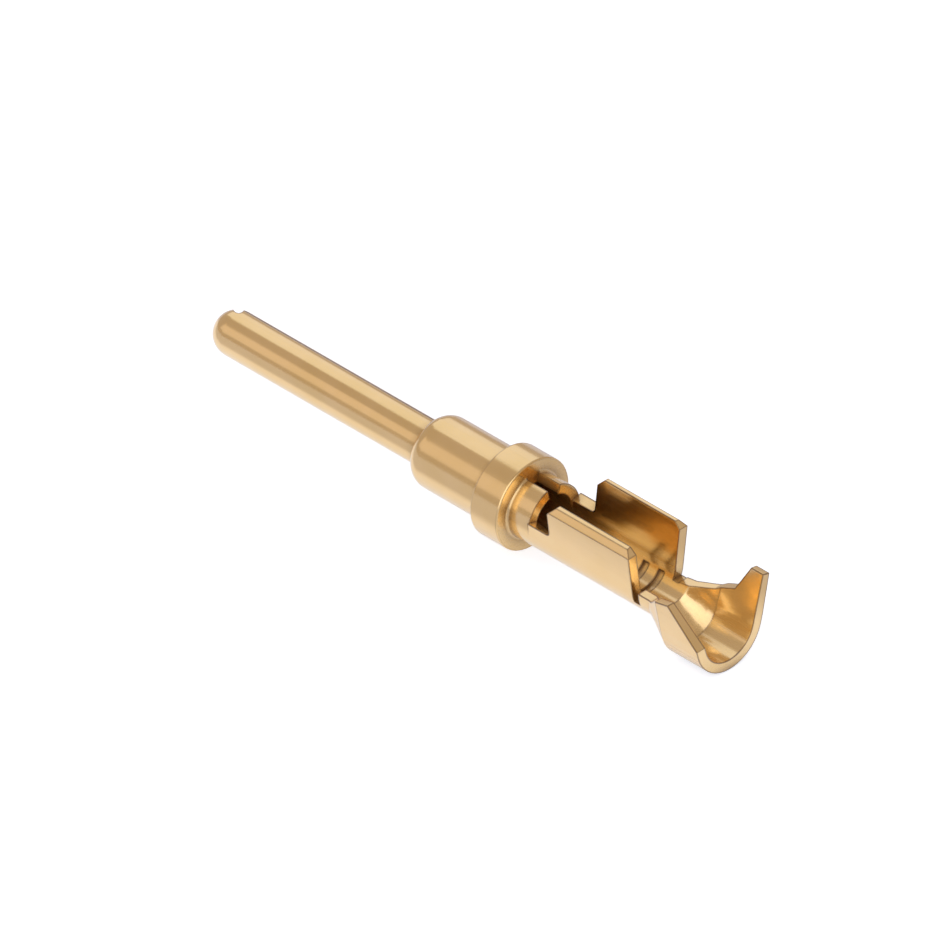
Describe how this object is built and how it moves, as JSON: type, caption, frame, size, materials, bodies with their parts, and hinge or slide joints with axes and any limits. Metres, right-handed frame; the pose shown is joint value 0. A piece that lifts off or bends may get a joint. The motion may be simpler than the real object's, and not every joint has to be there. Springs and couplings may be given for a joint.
{
  "type": "crimp pin contact",
  "caption": "Stamped and rolled pin contact: solid-looking round-nosed pin, stepped body with collar, open wire crimp barrel and open insulation crimp barrel with staggered ears.",
  "frame": {"origin": "on the pin axis, in the plane of the collar's rear face", "axes": "-X along the pin towards its nose, +X towards the open barrels, +Z out of their open tops"},
  "size_m": [0.0148, 0.0024, 0.0024],
  "materials": {
    "plated_strip": "gold plated, polished"
  },
  "bodies": {
    "root": {"pin_contact": "plated_strip"}
  },
  "joints": []
}
